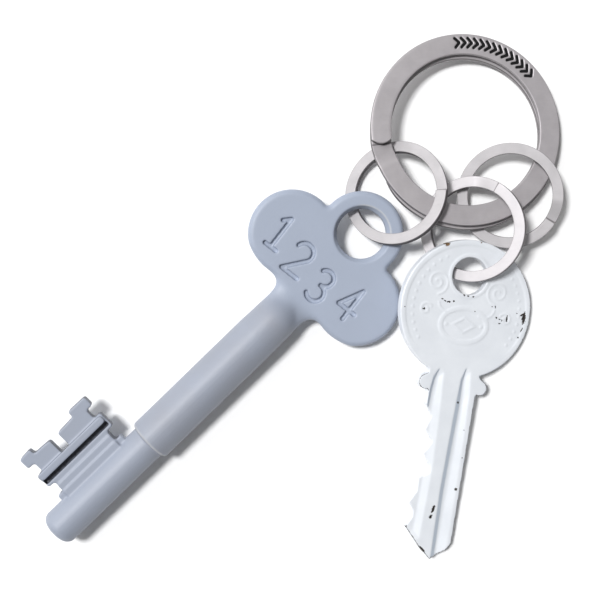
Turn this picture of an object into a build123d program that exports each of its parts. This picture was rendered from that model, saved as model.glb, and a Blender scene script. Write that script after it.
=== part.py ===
"""Split-ring key organiser: one large press-to-open ring, three small split rings and two keys.

Every ring is a flat strip of spring steel wound twice, one turn on top of the other, with a
slope where the strip climbs from the lower turn to the upper one.  The group lies on a table:
each ring leans on its neighbours, so each piece has its own tilted plane.
Units are millimetres.  The origin is under the middle of the group, on the table.
"""
from build123d import *
from math import atan2, cos, degrees, radians, sin
import os

os.makedirs("parts", exist_ok=True)

# ---------------------------------------------------------------- driving dimensions
# Flat strip rings: outer radius, strip width, strip thickness, gap between the two turns.
LARGE = dict(radius=18.0, width=3.8, strip=1.05, gap=0.30)
SMALL = dict(radius=9.8, width=2.0, strip=0.70, gap=0.10)

# Along each ring's strip: the slope, the springy end, and how far the free tip is rounded.
TIP_GAP = 0.8           # degrees of daylight beyond a free tip
LARGE_BULGE = 0.9       # mm
SMALL_BULGE = 0.12
LARGE_SLOPE = 17.0      # degrees
SMALL_SLOPE = 26.0
LARGE_SHIFT = 0.6       # how far the lower turn lies off centre, in the slope's direction
SMALL_SHIFT = 0.0
LARGE_ARM = 90.0
SMALL_ARM = 78.0

# Skeleton key (its own x axis runs from the pin towards the bow).
SHANK_RADIUS = 4.25
SHANK_LENGTH = 32.0
NOSE_LENGTH = 7.4       # where the round shank fades into the flat bow
NOSE_HEIGHT = 1.1       # just inside the bow, where the nose ends
SHOULDER_CHAMFER = 0.3
PIN_RADIUS = 3.45
PIN_LENGTH = 24.3
PIN_ROUND = 1.6
BOW_THICKNESS = 2.5
BOW_ROUND = 1.0
HOLE_CHAMFER = 0.75
NECK_LENGTH = 16.0
NECK_ROUND = 2.0
NOTCH_ROUND = 0.7
END_LOBE = (55.15, 0.15)
END_LOBE_RADIUS = 7.95
SIDE_LOBES = ((45.9, 9.15), (45.7, -8.6))
SIDE_LOBE_RADIUS = 8.2
BOW_HOLE_RADIUS = 5.4
BIT_THICKNESS = 2.2
BIT_ROUND = 0.45
BIT_MIDDLE = -10.85     # the bands along the bit are centred here
BIT_LENGTH = 13.4
LOW_BAND = dict(foot=0.0, top=6.15, thickness=2.7, overhang=0.0)
HIGH_BAND = dict(foot=0.0, top=4.65, thickness=3.2, overhang=0.0)
RIM_BAND = dict(foot=8.5, top=9.9, thickness=3.2, overhang=2.6)
LINE_WIDTH = 1.0        # line cut along the bit, beside its rim
LINE_DEPTH = 1.1
DIGIT_HEIGHT = 6.4
DIGIT_STROKE = 0.8
DIGIT_DEPTH = 0.7
DIGIT_LEAN = 8.0        # degrees that the digits lean from the key's own line

# Flat key (its own x axis runs up the key, from the tip towards the head).
KEY_THICKNESS = 1.9
HEAD_RADIUS = 12.9
HEAD_HOLE_RADIUS = 3.5
HEAD_HOLE_AT = (6.2, 0.1)
HEAD_RIM_WIDTH = 0.9
HOLE_RIM_WIDTH = 0.6
FIELD_FOOT = -8.8       # the sunk field of the head ends here, above the blade
RELIEF = 0.12           # depth of the sunk field that leaves the border and the oval raised
OVAL_AT = (-3.0, 0.2)
OVAL_LENGTH = 9.9
OVAL_WIDTH = 7.1
OVAL_LINE = 0.7
GROOVE_DEPTH = 0.5
EAR_WIDTH = 2.8         # the two rounded stops below the head


def resting_plane(x, y, z, rise_x, rise_y, turn=0.0):
    """Plane of a piece that leans: it climbs rise_x mm per mm along X and rise_y along Y."""
    level = Plane(origin=(x, y, z), x_dir=(1, 0, rise_x), z_dir=(-rise_x, -rise_y, 1))
    heading = level.x_dir * cos(radians(turn)) + level.y_dir * sin(radians(turn))
    return Plane(origin=level.origin, x_dir=heading, z_dir=level.z_dir)


# Where the pieces lie.  Shifting the whole group puts the origin under its middle.
SHIFT_X = 1.24
SHIFT_Y = -0.23
LARGE_LAY = resting_plane(30.95 + SHIFT_X, 31.35 + SHIFT_Y, 3.76, -0.130, -0.061)
LEFT_LAY = resting_plane(18.00 + SHIFT_X, 19.55 + SHIFT_Y, 4.96, 0.420, -0.180)
MIDDLE_LAY = resting_plane(32.26 + SHIFT_X, 12.87 + SHIFT_Y, 4.97, 0.384, 0.000)
RIGHT_LAY = resting_plane(39.44 + SHIFT_X, 19.21 + SHIFT_Y, 3.45, 0.163, 0.091)
SKELETON_LAY = resting_plane(-27.88 + SHIFT_X, -26.48 + SHIFT_Y, 4.30, -0.097, 0.097, turn=44.4)
FLAT_LAY = resting_plane(30.87 + SHIFT_X, -1.96 + SHIFT_Y, 4.24, -0.254, 0.086, turn=84.4)


# ---------------------------------------------------------------- strip rings
def strip_outline(radius, width, start, sweep, bulge=0.0):
    """Lines round a flat sector of strip; the far end may be a rounded free tip."""
    inner_radius = radius - width
    outer = CenterArc((0, 0), radius, start, sweep)
    inner = CenterArc((0, 0), inner_radius, start, sweep)
    Line(outer @ 0, inner @ 0)
    if bulge == 0:
        Line(outer @ 1, inner @ 1)
        return
    middle = (outer @ 1 + inner @ 1) / 2
    ahead = (outer % 1) * bulge
    ThreePointArc(outer @ 1, middle + ahead, inner @ 1)


def slope_outline(reach, flat, strip, gap):
    """Side view of the slope that joins the lower turn to the upper turn."""
    low = -gap / 2 - strip
    high = gap / 2
    Polyline(
        (-flat, low), (-reach, low), (reach, high), (flat, high),
        (flat, high + strip), (reach, high + strip), (-reach, low + strip), (-flat, low + strip),
        close=True,
    )


def wound_strip(lay, radius, width, strip, gap, tip, slope, shift, arm):
    """The wound strip without its springy end."""
    upper = lay.offset(gap / 2)
    middle_angle = radians(tip + slope / 2)
    outward = (cos(middle_angle), sin(middle_angle))
    along = (-outward[1], outward[0])
    foot = lay.offset(-gap / 2 - strip)
    lower = Plane(
        origin=foot.from_local_coords(Vector(along[0] * shift, along[1] * shift, 0)),
        x_dir=lay.x_dir,
        z_dir=lay.z_dir,
    )
    side = Plane(
        origin=lay.from_local_coords(Vector(0, 0, 0)),
        x_dir=lay.x_dir * along[0] + lay.y_dir * along[1],
        z_dir=lay.x_dir * outward[0] + lay.y_dir * outward[1],
    )
    half = radians(slope / 2)
    reach = (radius - width) * sin(half)
    flat = radius * sin(half) + width
    with BuildPart() as coil:
        with BuildSketch(foot):
            with BuildLine():
                strip_outline(radius, width, tip, slope)
            make_face()
        extrude(amount=2 * strip + gap)
        with BuildSketch(side.offset((radius - width) * cos(half) - width)):
            with BuildLine():
                slope_outline(reach, flat, strip, gap)
            make_face()
        extrude(amount=3 * width, mode=Mode.INTERSECT)
        with BuildSketch(lower):
            with BuildLine():
                strip_outline(radius, width, tip + slope, 360 - slope)
            make_face()
        extrude(amount=strip)
        with BuildSketch(upper):
            with BuildLine():
                strip_outline(radius, width, tip + slope, 360 - slope - arm)
            make_face()
        extrude(amount=strip)
    return coil.part


def springy_end(lay, radius, width, strip, gap, tip, arm, bulge):
    """The last stretch of the upper turn, which lifts when the ring is opened."""
    with BuildPart() as end:
        with BuildSketch(lay.offset(gap / 2)):
            with BuildLine():
                strip_outline(radius, width, tip - arm, arm - TIP_GAP, bulge)
            make_face()
        extrude(amount=strip)
    return end.part


LARGE_WIND = dict(slope=LARGE_SLOPE, shift=LARGE_SHIFT)
SMALL_WIND = dict(slope=SMALL_SLOPE, shift=SMALL_SHIFT)
LARGE_END = dict(arm=LARGE_ARM, bulge=LARGE_BULGE)
SMALL_END = dict(arm=SMALL_ARM, bulge=SMALL_BULGE)
RINGS = {
    "large_ring": dict(lay=LARGE_LAY, size=LARGE, tip=188.0, wind=LARGE_WIND, end=LARGE_END),
    "left_ring": dict(lay=LEFT_LAY, size=SMALL, tip=2.0, wind=SMALL_WIND, end=SMALL_END),
    "middle_ring": dict(lay=MIDDLE_LAY, size=SMALL, tip=60.0, wind=SMALL_WIND, end=SMALL_END),
    "right_ring": dict(lay=RIGHT_LAY, size=SMALL, tip=-32.0, wind=SMALL_WIND, end=SMALL_END),
}
for name, ring in RINGS.items():
    shape = dict(lay=ring["lay"], tip=ring["tip"], **ring["size"])
    coil = wound_strip(arm=ring["end"]["arm"], **ring["wind"], **shape)
    coil.label = name + "_coil"
    export_step(coil, f"parts/{coil.label}.step")
    end = springy_end(**ring["end"], **shape)
    end.label = name + "_free_end"
    export_step(end, f"parts/{end.label}.step")


# ---------------------------------------------------------------- skeleton key
def straight_stroke(start, end):
    """One stamped stroke between two points of a digit, in shares of the digit's height."""
    run = (Vector(*end) - Vector(*start)) * DIGIT_HEIGHT
    middle = (Vector(*end) + Vector(*start)) * (DIGIT_HEIGHT / 2)
    with Locations(middle):
        SlotCenterToCenter(run.length, DIGIT_STROKE, rotation=degrees(atan2(run.Y, run.X)))


def curved_stroke(centre, radius, start, sweep):
    """One stamped arc of a digit."""
    middle = (centre[0] * DIGIT_HEIGHT, centre[1] * DIGIT_HEIGHT)
    arc = Edge.make_circle(radius * DIGIT_HEIGHT, start_angle=start, end_angle=start + sweep)
    with Locations(middle):
        SlotArc(arc, DIGIT_STROKE)


def digit_one():
    straight_stroke((0.0, 0.0), (0.0, 1.0))
    straight_stroke((0.0, 1.0), (-0.18, 0.82))
    straight_stroke((-0.2, 0.0), (0.2, 0.0))


def digit_two():
    curved_stroke((0.0, 0.73), 0.27, -30, 195)
    straight_stroke((0.235, 0.6), (-0.27, 0.0))
    straight_stroke((-0.27, 0.0), (0.3, 0.0))


def digit_three():
    curved_stroke((0.0, 0.76), 0.24, -90, 235)
    curved_stroke((0.0, 0.26), 0.26, -145, 235)


def digit_four():
    straight_stroke((0.1, 0.0), (0.1, 1.0))
    straight_stroke((0.1, 1.0), (-0.28, 0.3))
    straight_stroke((-0.28, 0.3), (0.3, 0.3))


BIT_OUTLINE = (
    (-2.5, 0.0), (-2.8, 4.6), (-4.1, 4.6), (-4.1, 6.9), (-2.5, 6.9), (-2.5, 10.25),
    (-4.0, 10.25), (-4.0, 12.25), (-2.5, 12.25), (-2.5, 14.35), (-6.6, 14.45), (-6.6, 13.15),
    (-10.7, 12.95), (-10.7, 9.75), (-12.7, 9.75), (-12.7, 13.05), (-16.4, 13.25), (-16.4, 14.45),
    (-19.1, 14.25), (-19.1, 11.95), (-17.6, 11.95), (-17.6, 9.85), (-19.1, 9.85), (-18.9, 6.9),
    (-17.5, 6.9), (-17.5, 4.6), (-19.0, 4.6), (-19.0, 0.0),
)
DIGIT_PLACES = ((44.5, 10.8), (43.6, 5.0), (42.9, -1.3), (44.7, -7.6))
DIGITS = (digit_one, digit_two, digit_three, digit_four)
key_side = Plane(origin=SKELETON_LAY.origin, x_dir=SKELETON_LAY.x_dir, z_dir=-SKELETON_LAY.y_dir)

along_key = Axis(SKELETON_LAY.origin, SKELETON_LAY.x_dir)
upright = Axis(SKELETON_LAY.origin, SKELETON_LAY.z_dir)


with BuildPart() as skeleton_key:
    # Trefoil bow.
    with BuildSketch(SKELETON_LAY):
        with Locations(END_LOBE):
            Circle(END_LOBE_RADIUS)
        with Locations(*SIDE_LOBES):
            Circle(SIDE_LOBE_RADIUS)
        with Locations((SHANK_LENGTH, 0)):
            Rectangle(NECK_LENGTH, 2 * SHANK_RADIUS, align=(Align.MIN, Align.CENTER))
    extrude(amount=BOW_THICKNESS / 2, both=True)
    upright_edges = skeleton_key.edges().filter_by(upright).sort_by(along_key)
    fillet(upright_edges[2:4], radius=NECK_ROUND)
    upright_edges = skeleton_key.edges().filter_by(upright).sort_by(along_key)
    fillet(upright_edges[-2:], radius=NOTCH_ROUND)
    fillet(skeleton_key.faces().filter_by(upright).edges(), radius=BOW_ROUND)
    with BuildSketch(SKELETON_LAY):
        with Locations(END_LOBE):
            Circle(BOW_HOLE_RADIUS - HOLE_CHAMFER)
    extrude(amount=BOW_THICKNESS, both=True, mode=Mode.SUBTRACT)
    rims = skeleton_key.edges().filter_by(GeomType.CIRCLE)
    chamfer(rims.filter_by(lambda rim: rim.radius < BOW_HOLE_RADIUS and rim.is_closed), length=HOLE_CHAMFER)
    # Round shank with a fading nose, a step, and the pin with its rounded tip.
    with BuildSketch(key_side):
        with BuildLine():
            Polyline(
                (SHANK_LENGTH + NOSE_LENGTH, NOSE_HEIGHT), (SHANK_LENGTH + NOSE_LENGTH, 0),
                (-PIN_LENGTH, 0), (-PIN_LENGTH, PIN_RADIUS - PIN_ROUND),
            )
            RadiusArc(
                (-PIN_LENGTH, PIN_RADIUS - PIN_ROUND), (-PIN_LENGTH + PIN_ROUND, PIN_RADIUS), PIN_ROUND,
            )
            Polyline(
                (-PIN_LENGTH + PIN_ROUND, PIN_RADIUS), (0, PIN_RADIUS),
                (0, SHANK_RADIUS - SHOULDER_CHAMFER), (SHOULDER_CHAMFER, SHANK_RADIUS),
                (SHANK_LENGTH, SHANK_RADIUS),
            )
            Spline(
                (SHANK_LENGTH, SHANK_RADIUS), (SHANK_LENGTH + NOSE_LENGTH, NOSE_HEIGHT),
                tangents=((1, 0), (1, 0)),
            )
        make_face()
    revolve(axis=along_key)
    # Bit: a plate with rounded corners, two bands beside the pin, a raised rim and a cut line.
    with BuildSketch(SKELETON_LAY) as bit:
        with BuildLine():
            Polyline(*BIT_OUTLINE, close=True)
        make_face()
        fillet(bit.vertices().sort_by(Axis.Y)[2:], radius=BIT_ROUND)
    extrude(amount=BIT_THICKNESS / 2, both=True)
    for band in (LOW_BAND, HIGH_BAND, RIM_BAND):
        middle = (BIT_MIDDLE, (band["foot"] + band["top"]) / 2)
        with BuildSketch(SKELETON_LAY):
            with Locations(middle):
                RectangleRounded(BIT_LENGTH + band["overhang"], band["top"] - band["foot"], BIT_ROUND)
        extrude(amount=band["thickness"] / 2, both=True)
    with BuildSketch(SKELETON_LAY.offset(BIT_THICKNESS / 2)):
        with Locations((BIT_MIDDLE, RIM_BAND["foot"] - LINE_WIDTH / 2)):
            Rectangle(BIT_LENGTH + RIM_BAND["overhang"], LINE_WIDTH)
    extrude(amount=-LINE_DEPTH, mode=Mode.SUBTRACT)
    # Stamped digits.
    for draw, (digit_x, digit_y) in zip(DIGITS, DIGIT_PLACES):
        lean = radians(DIGIT_LEAN)
        digit_up = SKELETON_LAY.x_dir * cos(lean) + SKELETON_LAY.y_dir * sin(lean)
        digit_right = SKELETON_LAY.x_dir * sin(lean) - SKELETON_LAY.y_dir * cos(lean)
        middle = SKELETON_LAY.from_local_coords(Vector(digit_x, digit_y, BOW_THICKNESS / 2))
        digit_plane = Plane(
            origin=middle - digit_up * (DIGIT_HEIGHT / 2),
            x_dir=digit_right,
            z_dir=SKELETON_LAY.z_dir,
        )
        with BuildSketch(digit_plane):
            draw()
        extrude(amount=-DIGIT_DEPTH, mode=Mode.SUBTRACT)
skeleton_key.part.label = "skeleton_key"
export_step(skeleton_key.part, "parts/skeleton_key.step")

# ---------------------------------------------------------------- flat key
BLADE_OUTLINE = (
    (-9.5, 5.9), (-13.0, 5.9), (-15.2, 5.6), (-18.1, 5.65), (-20.3, 4.2), (-22.9, 5.0),
    (-25.0, 3.5), (-27.5, 4.8), (-29.8, 3.3), (-30.9, 3.3), (-32.2, 5.1), (-34.7, 5.2),
    (-36.8, 6.5), (-38.3, 5.5), (-39.5, 5.4), (-41.5, 6.6), (-44.9, 3.8), (-47.4, 1.2),
    (-45.5, -1.8), (-44.2, -2.7), (-16.4, -3.85), (-13.4, -4.4), (-11.4, -4.1), (-9.5, -4.4),
)
# Each ear runs from a point inside the blade to the middle of its rounded end.
EARS = (((-13.3, 4.6), (-14.0, 6.2)), ((-13.4, -3.0), (-14.5, -4.6)))
# Each milled groove: its outline on the face, and the matching corners of its floor.
RIGHT_GROOVE = (
    ((-10.6, -1.5), (-11.5, -2.4), (-15.3, -2.7), (-25.8, -2.6), (-41.0, -2.1), (-48.5, -1.6),
     (-48.5, 1.2), (-34.0, 0.9), (-18.2, -0.1), (-13.1, -0.6)),
    ((-12.0, -1.35), (-12.4, -1.45), (-17.5, -1.65), (-26.0, -1.2), (-41.0, -0.35), (-48.5, 0.1),
     (-48.5, 0.3), (-34.0, -0.1), (-18.6, -1.15), (-13.6, -1.15)),
)
LEFT_GROOVE = (
    ((-11.1, 3.8), (-12.0, 2.9), (-19.8, 2.8), (-30.3, 2.9), (-43.5, 3.8), (-46.0, 9.0),
     (-19.2, 9.0), (-18.3, 5.45), (-15.4, 5.3), (-13.0, 4.9)),
    ((-12.3, 4.1), (-12.9, 3.9), (-19.8, 4.4), (-30.3, 4.3), (-42.0, 5.1), (-44.0, 9.0),
     (-19.8, 9.0), (-18.9, 5.0), (-15.5, 4.75), (-13.5, 4.45)),
)

with BuildPart() as flat_key:
    with BuildSketch(FLAT_LAY):
        Circle(HEAD_RADIUS)
        with BuildLine():
            Polyline(*BLADE_OUTLINE, close=True)
        make_face()
        for foot, tip in EARS:
            run = Vector(*tip) - Vector(*foot)
            with Locations((Vector(*foot) + Vector(*tip)) / 2):
                SlotCenterToCenter(run.length, EAR_WIDTH, rotation=degrees(atan2(run.Y, run.X)))
        with Locations(HEAD_HOLE_AT):
            Circle(HEAD_HOLE_RADIUS, mode=Mode.SUBTRACT)
    extrude(amount=KEY_THICKNESS / 2, both=True)
    for side_sign in (1, -1):
        face_plane = FLAT_LAY.offset(side_sign * KEY_THICKNESS / 2)
        floor_plane = face_plane.offset(-side_sign * GROOVE_DEPTH)
        for rim, floor in (RIGHT_GROOVE, LEFT_GROOVE):
            with BuildSketch(face_plane):
                with BuildLine():
                    Polyline(*rim, close=True)
                make_face()
            with BuildSketch(floor_plane):
                with BuildLine():
                    Polyline(*floor, close=True)
                make_face()
            loft(ruled=True, mode=Mode.SUBTRACT)
        with BuildSketch(face_plane):
            Circle(HEAD_RADIUS - HEAD_RIM_WIDTH)
            with Locations((FIELD_FOOT, 0)):
                Rectangle(HEAD_RADIUS, 2 * HEAD_RADIUS, align=(Align.MAX, Align.CENTER), mode=Mode.SUBTRACT)
            with Locations(HEAD_HOLE_AT):
                Circle(HEAD_HOLE_RADIUS + HOLE_RIM_WIDTH, mode=Mode.SUBTRACT)
            with Locations(OVAL_AT):
                Ellipse(OVAL_WIDTH / 2, OVAL_LENGTH / 2, mode=Mode.SUBTRACT)
                Ellipse(OVAL_WIDTH / 2 - OVAL_LINE, OVAL_LENGTH / 2 - OVAL_LINE)
        extrude(amount=-side_sign * RELIEF, mode=Mode.SUBTRACT)
flat_key.part.label = "flat_key"
export_step(flat_key.part, "parts/flat_key.step")
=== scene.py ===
"""Looks for the split-ring key organiser: four strip rings and two painted keys on a pale table.

Every piece is shaped in its own frame, in millimetres, and then laid where the frame has it. Each
vertex keeps its place in that own frame, and the materials lay out their detail by it.
"""
import math

import bpy
import numpy as np
from mathutils import Matrix, Vector


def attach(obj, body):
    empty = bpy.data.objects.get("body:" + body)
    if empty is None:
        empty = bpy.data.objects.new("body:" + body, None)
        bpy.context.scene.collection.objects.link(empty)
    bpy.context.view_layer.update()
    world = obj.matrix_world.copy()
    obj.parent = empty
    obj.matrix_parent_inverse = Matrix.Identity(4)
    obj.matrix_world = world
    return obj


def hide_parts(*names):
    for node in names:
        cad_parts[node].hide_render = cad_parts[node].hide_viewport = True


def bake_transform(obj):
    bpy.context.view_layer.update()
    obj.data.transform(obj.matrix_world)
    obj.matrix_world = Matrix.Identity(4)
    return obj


MM = 0.001
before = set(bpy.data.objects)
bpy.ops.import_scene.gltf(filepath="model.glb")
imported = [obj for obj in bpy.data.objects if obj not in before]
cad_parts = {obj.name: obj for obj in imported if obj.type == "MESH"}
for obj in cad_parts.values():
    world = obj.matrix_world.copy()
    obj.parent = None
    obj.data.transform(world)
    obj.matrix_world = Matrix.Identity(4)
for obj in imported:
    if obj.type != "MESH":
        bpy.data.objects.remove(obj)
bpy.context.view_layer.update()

# ---------------------------------------------------------------- how the pieces lie (mm, degrees)
# slope is the part of a turn over which a strip climbs, arm the length of its springy end, shift
# how far off centre its lower turn lies, edge the rounding of its corners, and bulge how far its
# free tip is rounded out. tip_gap is left between the free tip and the step behind it. wall_shade
# is the strength of the painted shade on the side walls, tip_shade that of the painted shade on
# the rows of points round the tip. step is the angle between stations.
LARGE = dict(
    radius=18.0, width=3.8, strip=1.05, gap=0.30, slope=17.0, shift=0.6, arm=90.0, step=1.5,
    edge=0.16, bulge=0.9, tip_gap=0.8, wall_shade=0.35, tip_shade=(0.0, 0.0, 0.7),
    slot="large_ring_steel",
)
SMALL = dict(
    radius=9.8, width=2.0, strip=0.70, gap=0.10, slope=26.0, shift=0.0, arm=78.0, step=2.5,
    edge=0.10, bulge=0.12, tip_gap=1.5, wall_shade=0.55, tip_shade=(0.4, 0.9, 1.0),
    slot="small_ring_steel",
)
SHIFT_X, SHIFT_Y = 1.24, -0.23      # puts the middle of the group over the origin


def resting_matrix(x, y, z, rise_x, rise_y, turn=0.0):
    """Matrix of a piece that leans: it climbs rise_x per unit along X and rise_y along Y."""
    up = Vector((-rise_x, -rise_y, 1)).normalized()
    east = Vector((1, 0, rise_x)).normalized()
    north = up.cross(east)
    angle = math.radians(turn)
    heading = east * math.cos(angle) + north * math.sin(angle)
    side = up.cross(heading)
    rows = Matrix((heading, side, up)).transposed().to_4x4()
    return Matrix.Translation(Vector((x + SHIFT_X, y + SHIFT_Y, z)) * MM) @ rows


# tip is the direction of the ring's free tip in its own frame
RINGS = {
    "large_ring": dict(
        lay=resting_matrix(30.95, 31.35, 3.76, -0.130, -0.061), size=LARGE, tip=188.0),
    "left_ring": dict(
        lay=resting_matrix(18.00, 19.55, 4.96, 0.420, -0.180), size=SMALL, tip=2.0),
    "middle_ring": dict(
        lay=resting_matrix(32.26, 12.87, 4.97, 0.384, 0.000), size=SMALL, tip=60.0),
    "right_ring": dict(
        lay=resting_matrix(39.44, 19.21, 3.45, 0.163, 0.091), size=SMALL, tip=-32.0),
}
SKELETON_LAY = resting_matrix(-27.88, -26.48, 4.30, -0.097, 0.097, turn=44.4)
FLAT_LAY = resting_matrix(30.87, -1.96, 4.24, -0.254, 0.086, turn=84.4)


# ---------------------------------------------------------------- mesh helpers
def new_object(name, mesh):
    obj = bpy.data.objects.new(name, mesh)
    bpy.context.scene.collection.objects.link(obj)
    return obj


def vertex_vectors(mesh, what):
    """A vector of each vertex, such as its place (co) or its normal, as rows of an array."""
    values = np.zeros(len(mesh.vertices) * 3, np.float32)
    mesh.vertices.foreach_get(what, values)
    return values.reshape(-1, 3)


def place(mesh, own, lay):
    """Keeps each vertex's place in the piece's own frame, and moves the mesh to where it lies."""
    attribute = mesh.attributes.new("own_mm", "FLOAT_VECTOR", "POINT")
    attribute.data.foreach_set("vector", np.asarray(own, np.float32).ravel())
    matrix = np.array(lay)
    world = own * MM @ matrix[:3, :3].T + matrix[:3, 3]
    mesh.vertices.foreach_set("co", world.astype(np.float32).ravel())
    mesh.polygons.foreach_set("use_smooth", [True] * len(mesh.polygons))
    mesh.update()


def set_attribute(mesh, name, values):
    attribute = mesh.attributes.new(name, "FLOAT", "POINT")
    attribute.data.foreach_set("value", np.asarray(values, np.float32))


def ramp(values, low, high):
    """Climbs smoothly from 0 at low to 1 at high."""
    t = np.clip((values - low) / (high - low), 0, 1)
    return t * t * (3 - 2 * t)


def between(values, low, high, soft):
    """1 between low and high, and 0 outside, with soft shoulders."""
    return ramp(values, low - soft, low + soft) * (1 - ramp(values, high - soft, high + soft))


def distance_to_line(x, y, points):
    """Distance from each (x, y) to a polyline."""
    nearest = np.full(len(x), np.inf)
    for (ax, ay), (bx, by) in zip(points[:-1], points[1:]):
        run_x, run_y = bx - ax, by - ay
        t = ((x - ax) * run_x + (y - ay) * run_y) / (run_x ** 2 + run_y ** 2 + 1e-12)
        t = np.clip(t, 0, 1)
        nearest = np.minimum(nearest, np.hypot(x - ax - t * run_x, y - ay - t * run_y))
    return nearest


# ---------------------------------------------------------------- strip rings
CORNER_STEPS = 4        # points round a corner of the strip
COIL_STEPS = 27         # points across the coil's upper face
TIP_STEPS = 8           # points across each face of the springy end
SLOPE_STEPS = 15        # stations on the climbing part
SLOPE_EASE = 0.35       # how much of the climb eases in and out
FOOT_TAPER = 22.0       # degrees over which the lower free end narrows
FOOT_WIDTH = 0.25       # width that is left at its end, as a share

# Chevrons cut into the face of the large ring, where it is pressed to open it.
MARK_FROM = 96.6        # degrees, counted round the ring
MARK_COUNT = 14
MARK_PITCH = 4.2        # degrees
MARK_RADIUS = 16.35
MARK_HALF_HEIGHT = 0.85
MARK_LENGTH = 0.8
MARK_STROKE = 0.56
MARK_SOFT = 0.06
MARK_DEPTH = 0.12
FACE_SLACK = 0.001      # how far below the face a point still belongs to it
FINE_FROM = 36.0        # degrees, where the stations come closer together for the marks
FINE_STEP = 0.42        # degrees


def chevron_depth(angle, radius):
    """How deep the marks are cut at each place, from 0 to 1."""
    nearest = np.full(len(angle), np.inf)
    across = radius - MARK_RADIUS
    line = [(0, MARK_HALF_HEIGHT), (MARK_LENGTH, 0), (0, -MARK_HALF_HEIGHT)]
    for k in range(MARK_COUNT):
        run = np.radians(MARK_FROM - k * MARK_PITCH - angle) * MARK_RADIUS
        nearest = np.minimum(nearest, distance_to_line(run, across, line))
    return 1 - ramp(nearest, MARK_STROKE / 2 - MARK_SOFT, MARK_STROKE / 2 + MARK_SOFT)


def cut_chevrons(points, size):
    """Lowers the points of the upper face at the marks, and returns the depth as a share."""
    top = size["gap"] / 2 + size["strip"]
    angle = np.degrees(np.arctan2(points[:, 1], points[:, 0]))
    radius = np.hypot(points[:, 0], points[:, 1])
    on_face = points[:, 2] > top - FACE_SLACK
    depth = chevron_depth(angle, radius) * on_face
    points[:, 2] -= depth * MARK_DEPTH
    return depth


def section_points(size, top_steps, foot_steps):
    """Rounded rectangle of the strip, from its outer edge round; radial offset and height."""
    points = []
    half_w, half_t, edge = size["width"] / 2, size["strip"] / 2, size["edge"]
    reach = half_w - edge
    corners = ((1, 1, 0), (-1, 1, 90), (-1, -1, 180), (1, -1, 270))
    for sign_r, sign_z, start in corners:
        for k in range(CORNER_STEPS + 1):
            a = math.radians(start + 90 * k / CORNER_STEPS)
            points.append((
                sign_r * (half_w - edge) + edge * math.cos(a),
                sign_z * (half_t - edge) + edge * math.sin(a),
            ))
        if start == 0:
            points.extend((r, half_t) for r in np.linspace(reach, -reach, top_steps + 1)[1:-1])
        if start == 180:
            points.extend((r, -half_t) for r in np.linspace(-reach, reach, foot_steps + 1)[1:-1])
    return np.array(points)


def turn_height(size):
    """How far the middle of the upper turn is above the ring's middle, and the lower one below."""
    return size["gap"] / 2 + size["strip"] / 2


def middle_radius(size):
    return size["radius"] - size["width"] / 2


def strip_rows(size, tip, stations, section, is_coil):
    """The section's points at each station, and the rows that round the free tip."""
    high = turn_height(size)
    off = math.radians(tip + size["slope"] / 2 + 90)
    rows = []
    for angle, height, climb in stations:
        a = math.radians(angle)
        left = 1 - min((angle - stations[0][0]) / FOOT_TAPER, 1) if is_coil else 0
        narrowing = FOOT_WIDTH + (1 - FOOT_WIDTH) * math.sqrt(1 - left ** 2)
        radius = middle_radius(size) + section[:, 0] * narrowing
        # a climbing strip leans along its run, so its thickness is measured square to it
        lean = math.atan2(climb, middle_radius(size))
        along = -section[:, 1] * math.sin(lean)
        up = section[:, 1] * math.cos(lean)
        # the lower turn lies off centre, and comes back to the middle where it climbs
        shift = size["shift"] * (high - height) / (2 * high)
        x = radius * math.cos(a) - along * math.sin(a) + shift * math.cos(off)
        y = radius * math.sin(a) + along * math.cos(a) + shift * math.sin(off)
        rows.append(np.stack([x, y, height + up], axis=1))
    if not is_coil:
        share = section[:, 0] / (size["width"] / 2)
        a = math.radians(stations[-1][0])
        reach = size["bulge"] * (1 - share ** 2)
        ahead = np.array([-math.sin(a), math.cos(a), 0.0])
        last_row = rows[-1]
        tip_rows = len(size["tip_shade"])
        for k in range(1, tip_rows + 1):
            rows.append(last_row + ahead * reach[:, None] * (k / tip_rows))
    return rows


def strip_faces(row_count, count, is_coil):
    """Faces between the rows, and the end wall, whose corners are a further row of their own."""
    faces = []
    for i in range(row_count - 1):
        for j in range(count):
            k = (j + 1) % count
            faces.append((i * count + j, (i + 1) * count + j, (i + 1) * count + k, i * count + k))
    wall = row_count * count
    if is_coil:
        faces.append(tuple(range(wall, wall + count)))
    else:
        for j in range(count // 2 - 1):
            faces.append((wall + count - 1 - j, wall + count - 2 - j, wall + j + 1, wall + j))
    return faces


def wall_shades(points, section, size, seam):
    """Painted shade at each point: on the side walls, most near the gap between turns, and at the
    seams.
    """
    across = np.tile(np.abs(section[:, 0]), len(seam))
    reach = size["width"] / 2
    on_wall = ramp(across, reach - 0.8 * size["edge"], reach - 0.2 * size["edge"])
    half_gap = size["gap"] / 2
    near_gap = 1 - ramp(np.abs(points[:, 2]), half_gap + 0.05, half_gap + 0.4 * size["strip"])
    shade = on_wall * (size["wall_shade"] + (1 - size["wall_shade"]) * near_gap)
    return np.maximum(shade, np.repeat(seam, len(section)))


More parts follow.
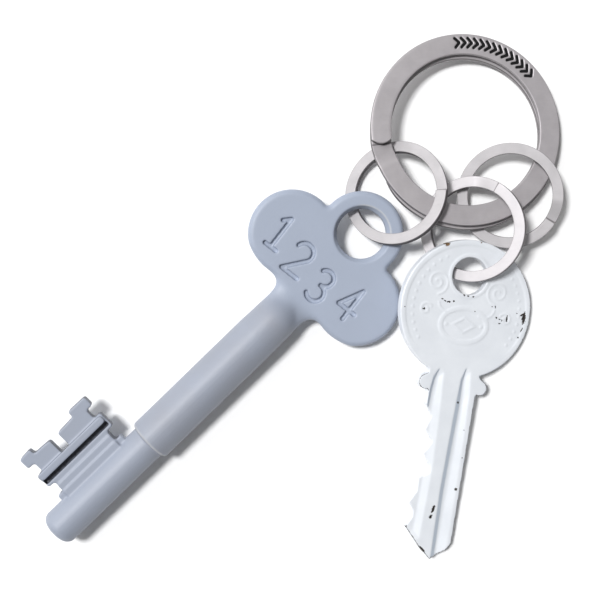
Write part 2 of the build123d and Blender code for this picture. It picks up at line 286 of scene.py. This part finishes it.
def sweep(name, lay, size, tip, stations, is_coil):
    """Strip mesh through stations of (angle in degrees, middle height, climb).

    A coil starts at its lower free end and stops at the joint. A springy end starts at the joint
    and ends in the rounded free tip.
    """
    steps = (COIL_STEPS, 1) if is_coil else (TIP_STEPS, TIP_STEPS)
    section = section_points(size, *steps)
    count = len(section)
    rows = strip_rows(size, tip, stations, section, is_coil)
    faces = strip_faces(len(rows), count, is_coil)
    rows.append(rows[0] if is_coil else rows[-1])
    points = np.concatenate(rows)
    # painted shade at the step under the free tip, and round the tip's own edge
    if is_coil:
        seam = [1.0 * (abs(angle - tip - 360) < 0.01) for angle, _, _ in stations] + [0.0]
    else:
        seam = [0.0] * len(stations) + list(size["tip_shade"]) + [1.0]
    marked = is_coil and size is LARGE
    mark = cut_chevrons(points, size) if marked else np.zeros(len(points))
    mesh = bpy.data.meshes.new(name)
    mesh.from_pydata((points * MM).tolist(), [], faces)
    set_attribute(mesh, "mark", mark)
    set_attribute(mesh, "wall", wall_shades(points, section, size, seam))
    place(mesh, points, lay)
    return new_object(name, mesh)


def coil_stations(size, tip):
    """From the lower free end, once round, up the slope and on to where the springy end starts."""
    high = turn_height(size)
    slope, step = size["slope"], size["step"]
    stations = [(a, -high, 0.0) for a in np.arange(tip + slope, tip + 360, step)]
    rise = 2 * high
    for t in np.linspace(0, 1, SLOPE_STEPS):
        eased = t * t * (3 - 2 * t) * SLOPE_EASE + t * (1 - SLOPE_EASE)
        climb = rise / math.radians(slope) if 0 < t < 1 else 0.0
        stations.append((tip + 360 + slope * t, -high + rise * eased, climb))
    first = tip + 360 + slope + step
    last = tip + 720 - size["arm"]
    if size is LARGE:
        fine_from = FINE_FROM + 360 * math.ceil((first - FINE_FROM) / 360)
        stations += [(a, high, 0.0) for a in np.arange(first, fine_from, step)]
        stations += [(a, high, 0.0) for a in np.arange(fine_from, last, FINE_STEP)]
    else:
        stations += [(a, high, 0.0) for a in np.arange(first, last, step)]
    stations.append((last, high, 0.0))
    return stations


def end_stations(size, tip):
    count = int(size["arm"] / size["step"])
    angles = np.linspace(tip - size["arm"], tip - size["tip_gap"], count)
    return [(a, turn_height(size), 0.0) for a in angles]


pieces = {}
for ring, spec in RINGS.items():
    size, tip, lay = spec["size"], spec["tip"], spec["lay"]
    coil = sweep(ring + "_strip", lay, size, tip, coil_stations(size, tip), is_coil=True)
    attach(coil, ring)
    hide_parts(ring + "_coil")
    end = sweep(ring + "_springy_end", lay, size, tip, end_stations(size, tip), is_coil=False)
    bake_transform(end)
    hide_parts(ring + "_free_end")
    for piece in (coil, end):
        pieces[piece.name] = piece


# ---------------------------------------------------------------- keys (mm, own frames)
# A key's own X runs along it, towards its bow or head, and its own Z out of its face.
WELD_DISTANCE = 0.002
RELAX_STEP = 0.6        # share of the way that a point moves in each round


def remeshed(node, name, matrix, voxel, rounds, kept=1.0):
    """The CAD node's shape in its own frame, with every edge softened as paint softens it.

    matrix lays the key where it is, rounds is how often it is smoothed, and kept the share of its
    faces that is kept.
    """
    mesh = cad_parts[node].data.copy()
    mesh.transform(matrix.inverted())
    work = new_object(name + "_work", mesh)
    weld = work.modifiers.new("weld", "WELD")
    weld.merge_threshold = WELD_DISTANCE * MM
    remesh = work.modifiers.new("remesh", "REMESH")
    remesh.mode = "VOXEL"
    remesh.voxel_size = voxel * MM
    soften = work.modifiers.new("soften", "SMOOTH")
    soften.factor = 0.5
    soften.iterations = rounds
    if kept < 1:
        thin_out = work.modifiers.new("thin_out", "DECIMATE")
        thin_out.ratio = kept
    bpy.context.view_layer.update()
    graph = bpy.context.evaluated_depsgraph_get()
    made = bpy.data.meshes.new_from_object(work.evaluated_get(graph))
    bpy.data.objects.remove(work)
    made.name = name
    made.materials.clear()
    return made


def relaxed(mesh, points, rounds, mask):
    """The points after the masked ones have moved towards their neighbours, round by round."""
    edges = np.zeros(len(mesh.edges) * 2, np.int64)
    mesh.edges.foreach_get("vertices", edges)
    edges = edges.reshape(-1, 2)
    chosen = edges[(mask[edges[:, 0]] > 0) | (mask[edges[:, 1]] > 0)]
    total = len(points)
    degree = np.bincount(chosen.ravel(), minlength=total)
    degree = np.maximum(degree, 1)[:, None]
    moved = points.copy()
    for _ in range(rounds):
        mean = np.zeros_like(moved)
        for axis in range(3):
            mean[:, axis] += np.bincount(chosen[:, 0], moved[chosen[:, 1], axis], total)
            mean[:, axis] += np.bincount(chosen[:, 1], moved[chosen[:, 0], axis], total)
        mean /= degree
        moved += (mean - moved) * (RELAX_STEP * mask[:, None])
    return moved


SKELETON_VOXEL = 0.17
SKELETON_KEPT = 0.69
NOSE = (28.0, 31.0, 37.6, 39.2)     # along the key: where the shank's shoulder is rounded most
NOSE_ROUNDS = 140
BIT_PLATE = 1.1                     # half thickness of the bit
BIT_FOOT = 4.6                      # how far out its plain part starts
CUT_LINE = (7.5, 8.5)               # edges of the line cut along the bit
BOW_HOLE = (55.15, 0.15)            # middle of the hole in the bow
HOLE_RIM = 5.4
HOLE_THROAT = 4.65
COLLAR = 0.25                       # where the shank steps down to the pin
# strengths of the painted shade on the bit's walls and the hole's chamfer, and of the painted
# highlights on the hole's rim and the collar
BIT_WALL_SHADE, CHAMFER_SHADE = 0.75, 0.6
RIM_HIGHLIGHT, COLLAR_HIGHLIGHT = 0.55, 0.45


def skeleton_light_and_shade(own, mesh):
    """Painted shade on the bit's side walls, in the line cut along it and on one side of the
    hole's chamfer, and painted highlights on one side of the hole's rim and on the collar.
    """
    x, y, z = own.T
    upright = np.abs(vertex_vectors(mesh, "normal")[:, 2])
    on_bit = (x < -2.0) & (y > BIT_FOOT)
    # painted shade on the bit's side walls
    bit_wall_shade = (1 - ramp(upright, 0.25, 0.7)) * on_bit * BIT_WALL_SHADE
    # painted shadow in the line cut along the bit
    line_shadow = between(y, *CUT_LINE, 0.1) * on_bit * ramp(z, -0.3, -0.1)
    line_shadow = line_shadow * (1 - ramp(z, BIT_PLATE - 0.25, BIT_PLATE - 0.1))
    out_x, out_y = x - BOW_HOLE[0], y - BOW_HOLE[1]
    away = np.hypot(out_x, out_y)
    # painted highlight on one side of the hole's rim
    rim = (1 - ramp(np.abs(away - HOLE_RIM), 0.06, 0.2)) * ramp(out_x / away, 0.45, 0.8) * RIM_HIGHLIGHT
    # painted shade on one side of the hole's chamfer
    on_chamfer = ramp(away, HOLE_THROAT - 0.1, HOLE_THROAT)
    on_chamfer = on_chamfer * (1 - ramp(away, HOLE_RIM - 0.25, HOLE_RIM))
    chamfer_shade = on_chamfer * ramp(out_y / away, 0.2, 0.8) * ramp(z, 0.2, 0.4) * CHAMFER_SHADE
    # painted highlight along the collar
    collar = (1 - ramp(np.abs(x - COLLAR), 0.1, 0.26)) * COLLAR_HIGHLIGHT
    return np.maximum(np.maximum(bit_wall_shade, line_shadow), chamfer_shade), np.maximum(rim, collar)


def painted_skeleton_key():
    name = "skeleton_key_painted"
    mesh = remeshed("skeleton_key", name, SKELETON_LAY, SKELETON_VOXEL, 2, kept=SKELETON_KEPT)
    own = vertex_vectors(mesh, "co").astype(float) / MM
    nose = ramp(own[:, 0], NOSE[0], NOSE[1]) * (1 - ramp(own[:, 0], NOSE[2], NOSE[3]))
    own = relaxed(mesh, own, NOSE_ROUNDS, nose)
    # painted shade and painted highlights, carried by the mesh to the paint
    grime, rubbed = skeleton_light_and_shade(own, mesh)
    set_attribute(mesh, "grime", grime)
    set_attribute(mesh, "rubbed", rubbed)
    place(mesh, own, SKELETON_LAY)
    return new_object(name, mesh)


skeleton = painted_skeleton_key()
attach(skeleton, "skeleton_key")
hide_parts("skeleton_key")


FLAT_VOXEL = 0.145
HALF_KEY = 0.95                     # half thickness of the flat key
FIELD_FOOT = -8.8                   # where the sunk field of the head ends
FIELD_FADE = 4.0                    # length over which it fades out
FIELD_RADIUS = 12.0
FIELD_DEPTH = 0.12
FIELD_FILL = 0.2                    # share of its depth that the paint fills
RELIEF_HEIGHT = 0.075
RELIEF_LINE = 0.46                  # width of a scroll's line
DOT_RADIUS = 0.28
DOT_CIRCLE = 10.6
DOT_ANGLES = [*range(28, 128, 8), *range(-124, -24, 8)]
DIAMOND = (-3.0, 0.2, 1.5, 2.4)     # middle and half sizes of the diamond
STUDS = (-3.3, 3.7)                 # places of the dots on either side of it
# middle, outer radius, inner radius, start angle and turns of each scroll
SCROLLS = (
    ((4.6, 6.3), 2.3, 0.35, -170, 1.6),
    ((3.6, -5.9), 2.3, 0.35, 170, -1.6),
    ((-0.6, 8.0), 1.25, 0.3, -60, 1.1),
    ((-1.2, -8.0), 1.25, 0.3, 60, -1.1),
    ((1.2, 3.4), 2.2, 1.9, 100, 0.3),
    ((0.6, -3.4), 2.2, 1.9, -100, -0.3),
)
SCROLL_STEPS = 36

# The part of the blade's outline that is drawn dark, from its upper corner round the tip and along
# the back: partly paint gone to bare metal, partly painted shade.
WORN_AND_SHADED_EDGE = (
    (-41.5, 6.6), (-44.9, 3.8), (-47.4, 1.2), (-45.5, -1.8), (-44.2, -2.7), (-16.4, -3.85),
)
EAR_ENDS = ((-14.0, 6.2), (-14.5, -4.6))
EAR_RADIUS = 1.4
RIM_WEAR = 0.6

# Where the white paint is chipped through: place on the key, half length, half width, lean.
CHIPS = (
    (11.6, 5.3, 0.50, 0.38, -64), (-0.6, 12.1, 0.15, 0.12, -84), (-0.6, 8.3, 0.28, 0.26, -84),
    (1.5, 4.9, 0.25, 0.10, 76), (1.1, 3.7, 0.55, 0.16, -89), (1.2, 4.4, 0.30, 0.12, 61),
    (1.3, 2.7, 0.23, 0.17, 56), (2.6, 0.8, 0.23, 0.15, 66), (2.5, 0.0, 0.25, 0.12, 86),
    (2.5, -1.0, 0.20, 0.14, -64), (-0.2, -1.7, 0.17, 0.10, -84), (1.0, -5.0, 0.10, 0.17, 6),
    (1.0, -5.7, 0.28, 0.14, 6), (-1.0, -6.2, 0.20, 0.15, 56), (-1.2, -6.8, 0.25, 0.12, 86),
    (-1.4, -7.3, 0.25, 0.12, -4), (-2.0, -6.9, 0.23, 0.12, -84), (-1.0, -8.3, 0.65, 0.16, 0),
    (0.2, -10.2, 0.15, 0.10, -84), (-0.5, -11.7, 1.15, 0.38, 0), (-0.0, -11.2, 0.45, 0.15, -64),
    (-2.7, -11.6, 0.50, 0.10, -24), (-4.3, -11.0, 0.20, 0.15, -84), (12.6, -1.3, 0.15, 0.12, -84),
    (-17.5, -0.7, 0.27, 0.25, -84), (-33.8, -2.3, 0.29, 0.27, -84), (-37.8, 1.7, 0.85, 0.30, -16),
    (-39.3, 2.1, 0.45, 0.28, -34), (-37.4, 1.6, 0.35, 0.15, -44), (-45.6, 2.9, 0.95, 0.25, 48),
    (-47.3, 1.3, 0.20, 0.15, -84), (-45.6, -1.7, 0.17, 0.15, -84), (-41.6, 6.5, 0.23, 0.17, 51),
    (-22.6, -2.5, 0.15, 0.12, -84), (-27.8, -2.8, 0.10, 0.20, -4), (-46.2, -0.5, 0.60, 0.07, -59),
)

FAR_OUTSIDE = -2.0                  # the lowest value of the chips' field


def spiral(centre, start_radius, end_radius, start_angle, turns):
    """A scroll that winds in from its outer end."""
    t = np.linspace(0, 1, SCROLL_STEPS)
    radius = start_radius + (end_radius - start_radius) * t
    angle = np.radians(start_angle) + 2 * math.pi * turns * t
    return list(zip(centre[0] + radius * np.cos(angle), centre[1] + radius * np.sin(angle)))


def head_relief(x, y):
    """Height of the raised ornament on the head: scrolls, a ring of dots and a small diamond."""
    nearest = np.full(len(x), np.inf)
    for scroll in SCROLLS:
        nearest = np.minimum(nearest, distance_to_line(x, y, spiral(*scroll)))
    height = 1 - ramp(nearest, RELIEF_LINE / 2 - 0.16, RELIEF_LINE / 2 + 0.12)
    for angle in DOT_ANGLES:
        a = math.radians(angle)
        away = np.hypot(x - DOT_CIRCLE * math.cos(a), y - DOT_CIRCLE * math.sin(a))
        height = np.maximum(height, 1 - ramp(away, DOT_RADIUS - 0.14, DOT_RADIUS + 0.1))
    middle_x, middle_y, half_x, half_y = DIAMOND
    diamond = np.abs(x - middle_x) / half_x + np.abs(y - middle_y) / half_y
    height = np.maximum(height, 1 - ramp(np.abs(diamond - 0.9), 0.1, 0.28))
    for stud_y in STUDS:
        away = np.hypot(x - middle_x, y - stud_y)
        height = np.maximum(height, 1 - ramp(away, 0.22, 0.42))
    return height * RELIEF_HEIGHT


def chip_field(x, y):
    """Above zero inside a chip, and falling off outside it."""
    field = np.full(len(x), FAR_OUTSIDE)
    for cx, cy, half_x, half_y, lean in CHIPS:
        a = math.radians(lean)
        u = ((x - cx) * math.cos(a) + (y - cy) * math.sin(a)) / half_x
        v = (-(x - cx) * math.sin(a) + (y - cy) * math.cos(a)) / half_y
        field = np.maximum(field, 1 - np.hypot(u, v))
    return field


def worn_and_shaded_edges(x, y, upright):
    """How dark an edge is drawn at the ears, the tip, the straight back and the rim: partly paint
    gone to bare metal, partly painted shade.
    """
    on_edge = ramp(upright, 0.1, 0.4) * (1 - ramp(upright, 0.86, 0.97))
    from_edge = distance_to_line(x, y, WORN_AND_SHADED_EDGE)
    for ear_x, ear_y in EAR_ENDS:
        inboard = np.abs(y) < np.abs(ear_y) - 1.0
        from_ear = np.abs(np.hypot(x - ear_x, y - ear_y) - EAR_RADIUS) + inboard
        from_edge = np.minimum(from_edge, from_ear)
    more_at_tip = 0.75 + 0.25 * ramp(-x, 36.0, 44.0)
    blade = (1 - ramp(from_edge, 0.3, 0.5)) * more_at_tip * ramp(np.abs(y), 0.4, 1.2)
    rim = ramp(np.hypot(x, y), 12.3, 12.8) * ramp(-y, 4, 10) * (1 - ramp(-x, 5, 9)) * RIM_WEAR
    return on_edge * np.clip(blade + rim, 0, 1)


def shape_field(own, upright):
    """Fills the head's sunk field a little, raises the ornament in it and fades out its foot."""
    side = np.sign(own[:, 2])
    away = np.hypot(own[:, 0], own[:, 1])
    sunk = np.clip(HALF_KEY - np.abs(own[:, 2]), 0, FIELD_DEPTH) * (away < FIELD_RADIUS + 0.4)
    own[:, 2] += side * sunk * FIELD_FILL * (upright > 0.5)
    raised = head_relief(own[:, 0], own[:, 1]) * ramp(upright, 0.85, 0.97)
    own[:, 2] += side * raised * (away < FIELD_RADIUS - 0.1)
    foot = (own[:, 0] > FIELD_FOOT) & (away < FIELD_RADIUS) & (upright > 0.85)
    near_foot = 1 - ramp(own[:, 0], FIELD_FOOT, FIELD_FOOT + FIELD_FADE)
    fade = 0.8 * FIELD_DEPTH * near_foot * foot
    own[:, 2] = side * np.minimum(np.abs(own[:, 2]) + fade, HALF_KEY)


def painted_flat_key():
    name = "flat_key_painted"
    mesh = remeshed("flat_key", name, FLAT_LAY, FLAT_VOXEL, 3)
    own = vertex_vectors(mesh, "co").astype(float) / MM
    normals = vertex_vectors(mesh, "normal")
    upright = np.abs(normals[:, 2])
    shape_field(own, upright)
    x, y, z = own.T
    set_attribute(mesh, "chip", chip_field(x, y))
    # dark edges: partly bare metal, partly painted shade
    set_attribute(mesh, "worn", worn_and_shaded_edges(x, y, upright))
    # painted shade: the groove's walls that face away from the light are tinted blue-grey
    in_groove = ramp(-x, 9.5, 11.0) * (1 - ramp(upright, 0.9, 0.98)) * ramp(upright, 0.1, 0.3)
    set_attribute(mesh, "shaded", in_groove * ramp(-normals[:, 1] * np.sign(z), 0.12, 0.3))
    place(mesh, own, FLAT_LAY)
    return new_object(name, mesh)


flat = painted_flat_key()
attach(flat, "flat_key")
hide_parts("flat_key")


# ---------------------------------------------------------------- materials
# Scales are per millimetre of a piece's own frame, so that the detail has its real size.
MARK_BLACK = (0.006, 0.006, 0.007)
MARK_ROUGHNESS = 0.8
GRAIN_HEIGHT = 0.006 * MM
SCRATCH_STRETCH = (0.5, 9.0, 3.0)   # long along X, fine across it
PEEL_HEIGHT = 0.02 * MM             # orange peel of the blue-grey paint
FINE_HEIGHT = 0.003 * MM
ENAMEL_PEEL_HEIGHT = 0.012 * MM
CHIP_DEPTH = 0.05 * MM
SHANK_TO_BOW = (32.0, 38.0)         # along the key, where the shank's colour gives way
PIN_TO_SHANK = (-3.0, 1.0)
# colours of the painted highlights and the painted shade on the blue-grey key
HIGHLIGHT_GREY = (0.62, 0.62, 0.60)
SHADE_DARK = (0.035, 0.037, 0.05)
ENAMEL_ROUGHNESS = 0.3
BARE_ROUGHNESS = 0.6
# colour of the painted shade on the groove's walls
GROOVE_SHADE_BLUE = (0.56, 0.63, 0.72)
RUST = ((0.010, 0.009, 0.010), (0.08, 0.055, 0.036))
BRASS = ((0.30, 0.17, 0.06), (0.08, 0.05, 0.03))
BRASS_FROM = (10.6, 11.0)           # along the key, where bare metal turns brassy


class Surface:
    """A Principled material whose detail is laid out in the piece's own millimetres."""

    def __init__(self, name, colour, metallic, roughness):
        self.material = bpy.data.materials.new(name)
        self.material.use_nodes = True
        self.tree = self.material.node_tree
        self.shader = self.tree.nodes["Principled BSDF"]
        self.shader.inputs["Base Color"].default_value = (*colour, 1)
        self.shader.inputs["Metallic"].default_value = metallic
        self.shader.inputs["Roughness"].default_value = roughness
        own = self.tree.nodes.new("ShaderNodeAttribute")
        own.attribute_name = "own_mm"
        self.own = own.outputs["Vector"]

    def link(self, source, target):
        self.tree.links.new(source, target)

    def stretched(self, scale):
        """The own coordinates scaled by a factor for each axis."""
        node = self.tree.nodes.new("ShaderNodeVectorMath")
        node.operation = "MULTIPLY"
        self.link(self.own, node.inputs[0])
        node.inputs[1].default_value = scale
        return node.outputs["Vector"]

    def noise(self, scale, detail=3.0, roughness=0.55, vector=None):
        node = self.tree.nodes.new("ShaderNodeTexNoise")
        self.link(vector or self.own, node.inputs["Vector"])
        node.inputs["Scale"].default_value = scale
        node.inputs["Detail"].default_value = detail
        node.inputs["Roughness"].default_value = roughness
        return node.outputs["Fac"]

    def along(self):
        """Distance along the piece's own X."""
        node = self.tree.nodes.new("ShaderNodeSeparateXYZ")
        self.link(self.own, node.inputs["Vector"])
        return node.outputs["X"]

    def attribute(self, name):
        node = self.tree.nodes.new("ShaderNodeAttribute")
        node.attribute_name = name
        return node.outputs["Fac"]

    def spread(self, source, low, high, to_low, to_high):
        """Maps low..high to to_low..to_high, and clamps."""
        node = self.tree.nodes.new("ShaderNodeMapRange")
        self.link(source, node.inputs["Value"])
        limits = {"From Min": low, "From Max": high, "To Min": to_low, "To Max": to_high}
        for socket, value in limits.items():
            node.inputs[socket].default_value = value
        return node.outputs["Result"]

    def maths(self, operation, a, b):
        node = self.tree.nodes.new("ShaderNodeMath")
        node.operation = operation
        for socket, value in zip(node.inputs, (a, b)):
            if isinstance(value, (int, float)):
                socket.default_value = value
            else:
                self.link(value, socket)
        return node.outputs["Value"]

    def mixed(self, factor, a, b):
        node = self.tree.nodes.new("ShaderNodeMix")
        node.data_type = "RGBA"
        self.link(factor, node.inputs["Factor"])
        sockets = [k for k in node.inputs if k.type == "RGBA"]
        for socket, value in zip(sockets, (a, b)):
            if isinstance(value, tuple):
                socket.default_value = (*value, 1)
            else:
                self.link(value, socket)
        return [k for k in node.outputs if k.type == "RGBA"][0]

    def bump(self, height, distance, under=None):
        node = self.tree.nodes.new("ShaderNodeBump")
        node.inputs["Strength"].default_value = 1.0
        node.inputs["Distance"].default_value = distance
        self.link(height, node.inputs["Height"])
        if under is not None:
            self.link(under, node.inputs["Normal"])
        return node.outputs["Normal"]


def steel(name, dark, light, wall, metallic, roughness_low, roughness_high):
    """Tumbled spring steel: soft mottling, a fine even grain and a few hair scratches, with
    painted shade on the side walls and seams.
    """
    surface = Surface(name, light, metallic, roughness_low)
    cloud = surface.noise(0.35, 4.0)
    speckle = surface.noise(5.0, 2.0, 0.7)
    scratch = surface.noise(1.0, 2.0, 0.5, surface.stretched(SCRATCH_STRETCH))
    tone = surface.maths("MULTIPLY", surface.spread(cloud, 0.35, 0.65, 0.55, 1.0),
                         surface.spread(speckle, 0.3, 0.7, 0.85, 1.0))
    tone = surface.maths("MULTIPLY", tone, surface.spread(scratch, 0.3, 0.5, 0.82, 1.0))
    colour = surface.mixed(tone, dark, light)
    # painted shade: the side walls, the gap between the turns and the seams take the dark wall
    # colour
    colour = surface.mixed(surface.attribute("wall"), colour, wall)
    mark = surface.spread(surface.attribute("mark"), 0.35, 0.65, 0.0, 1.0)
    colour = surface.mixed(mark, colour, MARK_BLACK)
    surface.link(colour, surface.shader.inputs["Base Color"])
    rough = surface.spread(speckle, 0.3, 0.7, roughness_low, roughness_high)
    rough = surface.maths("MAXIMUM", rough, surface.spread(mark, 0, 1, 0, MARK_ROUGHNESS))
    surface.link(rough, surface.shader.inputs["Roughness"])
    grain = surface.bump(speckle, GRAIN_HEIGHT)
    surface.link(surface.bump(scratch, GRAIN_HEIGHT, under=grain), surface.shader.inputs["Normal"])
    return surface.material


def satin_paint(name, bow, shank):
    """Thick satin paint over a casting, greyer on the shank, with faint orange peel, painted
    highlights and painted shade.
    """
    surface = Surface(name, bow, 0.0, 0.5)
    cloud = surface.noise(0.12, 4.0)
    peel = surface.noise(1.6, 2.0)
    fine = surface.noise(9.0, 2.0)
    towards_bow = surface.spread(surface.along(), *SHANK_TO_BOW, 1, 0)
    towards_pin = surface.spread(surface.along(), *PIN_TO_SHANK, 0.6, 1)
    colour = surface.mixed(surface.maths("MINIMUM", towards_bow, towards_pin), bow, shank)
    faded = tuple(0.9 * k for k in bow)
    colour = surface.mixed(surface.spread(cloud, 0.3, 0.7, 0, 0.4), colour, faded)
    blotch = surface.spread(peel, 0.35, 0.65, 0.8, 1.0)
    # painted highlights on the hole's rim and the collar
    rubbed = surface.maths("MULTIPLY", surface.attribute("rubbed"), blotch)
    colour = surface.mixed(rubbed, colour, HIGHLIGHT_GREY)
    # painted shade on the bit's walls, in its cut line and on the hole's chamfer
    grime = surface.maths("MULTIPLY", surface.attribute("grime"), blotch)
    colour = surface.mixed(grime, colour, SHADE_DARK)
    surface.link(colour, surface.shader.inputs["Base Color"])
    surface.link(surface.spread(fine, 0.3, 0.7, 0.44, 0.56), surface.shader.inputs["Roughness"])
    peeled = surface.bump(peel, PEEL_HEIGHT)
    surface.link(surface.bump(fine, FINE_HEIGHT, under=peeled), surface.shader.inputs["Normal"])
    return surface.material


def chipped_enamel(name, low, high):
    """White enamel, scuffed and chipped through to dark metal at its edges and on its relief; the
    dark edges are partly painted shade, and the groove's walls get a painted blue-grey shade.
    """
    surface = Surface(name, high, 0.0, ENAMEL_ROUGHNESS)
    cloud = surface.noise(0.2, 4.0)
    peel = surface.noise(1.2, 2.0)
    ragged = surface.noise(3.2, 4.0, 0.65)
    enamel = surface.mixed(surface.spread(cloud, 0.3, 0.7, 0, 1), low, high)
    # painted shade on the groove's walls
    enamel = surface.mixed(surface.attribute("shaded"), enamel, GROOVE_SHADE_BLUE)
    ragged_chip = surface.spread(ragged, 0.25, 0.75, -0.6, 0.6)
    chip = surface.maths("ADD", surface.attribute("chip"), ragged_chip)
    chipped = surface.spread(chip, 0.02, 0.12, 0.0, 1.0)
    # dark edges: partly paint gone to bare metal, partly painted shade
    ragged_edge = surface.spread(ragged, 0.25, 0.75, -0.75, 0.15)
    rubbed = surface.maths("ADD", surface.attribute("worn"), ragged_edge)
    rubbed = surface.spread(rubbed, 0.12, 0.24, 0.0, 0.9)
    bare = surface.maths("MAXIMUM", chipped, rubbed)
    rust = surface.mixed(surface.spread(ragged, 0.48, 0.72, 0, 1), *RUST)
    brass = surface.mixed(surface.spread(ragged, 0.35, 0.6, 0, 1), *BRASS)
    at_top = surface.spread(surface.along(), *BRASS_FROM, 0, 1)
    bare_colour = surface.mixed(at_top, rust, brass)
    surface.link(surface.mixed(bare, enamel, bare_colour), surface.shader.inputs["Base Color"])
    rough = surface.spread(bare, 0, 1, ENAMEL_ROUGHNESS, BARE_ROUGHNESS)
    surface.link(rough, surface.shader.inputs["Roughness"])
    peeled = surface.bump(peel, ENAMEL_PEEL_HEIGHT)
    pitted = surface.bump(surface.spread(bare, 0, 1, 1, 0), CHIP_DEPTH, under=peeled)
    surface.link(pitted, surface.shader.inputs["Normal"])
    return surface.material


# wall is the colour of the painted shade on each ring's side walls and seams
large_steel = steel(
    "large_ring_tumbled_steel", dark=(0.39, 0.368, 0.382), light=(0.51, 0.484, 0.50),
    wall=(0.12, 0.113, 0.116), metallic=0.5, roughness_low=0.44, roughness_high=0.56)
small_steel = steel(
    "small_ring_satin_steel", dark=(0.355, 0.343, 0.352), light=(0.465, 0.449, 0.46),
    wall=(0.10, 0.09, 0.095), metallic=0.4, roughness_low=0.55, roughness_high=0.65)
# The middle ring is the same steel as the other small rings, painted lighter and less metallic to
# stand for the light that it catches.
middle_lit_steel = steel(
    "middle_ring_bright_steel", dark=(0.43, 0.416, 0.43), light=(0.53, 0.51, 0.523),
    wall=(0.10, 0.09, 0.095), metallic=0.3, roughness_low=0.50, roughness_high=0.60)
ring_steels = {
    "large": large_steel, "left": small_steel, "middle": middle_lit_steel, "right": small_steel,
}
for name, piece in pieces.items():
    piece.data.materials.append(ring_steels[name.split("_")[0]])
skeleton.data.materials.append(
    satin_paint("blue_grey_satin_paint", bow=(0.368, 0.415, 0.513), shank=(0.304, 0.322, 0.376)))
flat.data.materials.append(
    chipped_enamel("white_enamel_paint", low=(0.735, 0.765, 0.81), high=(0.80, 0.83, 0.873)))


# ---------------------------------------------------------------- studio (m)
FLOOR_SIZE = 6
FLOOR_DROP = 0.00005                # keeps the floor clear of what lies on it
WORLD_STRENGTH = 0.20
LENS, SENSOR = 69.0, 36.0           # mm
VIEW_WIDTH = 0.1119                 # width in view at the focus height
FOCUS_HEIGHT = 0.004
VIEW_MIDDLE = (0.00143, -0.00051)

bpy.ops.mesh.primitive_plane_add(size=FLOOR_SIZE, location=(0, 0, -FLOOR_DROP))
floor = bpy.context.object
floor.name = "studio_floor"
floor.data.materials.append(Surface("pale_floor", (0.96, 0.96, 0.96), 0.0, 0.9).material)

world = bpy.data.worlds.new("studio")
bpy.context.scene.world = world
world.use_nodes = True
background = world.node_tree.nodes["Background"]
background.inputs["Color"].default_value = (1, 1, 1, 1)
background.inputs["Strength"].default_value = WORLD_STRENGTH


def studio_light(name, direction, strength, spread):
    """A distant soft light from a direction; spread is the angle in degrees that it fills."""
    light = bpy.data.lights.new(name, "SUN")
    light.energy = strength
    light.angle = math.radians(spread)
    lamp = new_object(name, light)
    lamp.rotation_euler = (-Vector(direction)).to_track_quat("-Z", "Y").to_euler()


studio_light("key_light", (-0.355, 0.183, 0.917), strength=2.9, spread=12.0)
studio_light("side_light", (-0.72, 0.48, 0.50), strength=0.9, spread=45.0)

camera_data = bpy.data.cameras.new("camera")
camera_data.sensor_width = SENSOR
camera_data.lens = LENS
camera_data.clip_start = 0.01
camera = new_object("camera", camera_data)
camera.location = (*VIEW_MIDDLE, FOCUS_HEIGHT + VIEW_WIDTH * LENS / SENSOR)
bpy.context.scene.camera = camera
bpy.context.scene.view_settings.view_transform = "Standard"
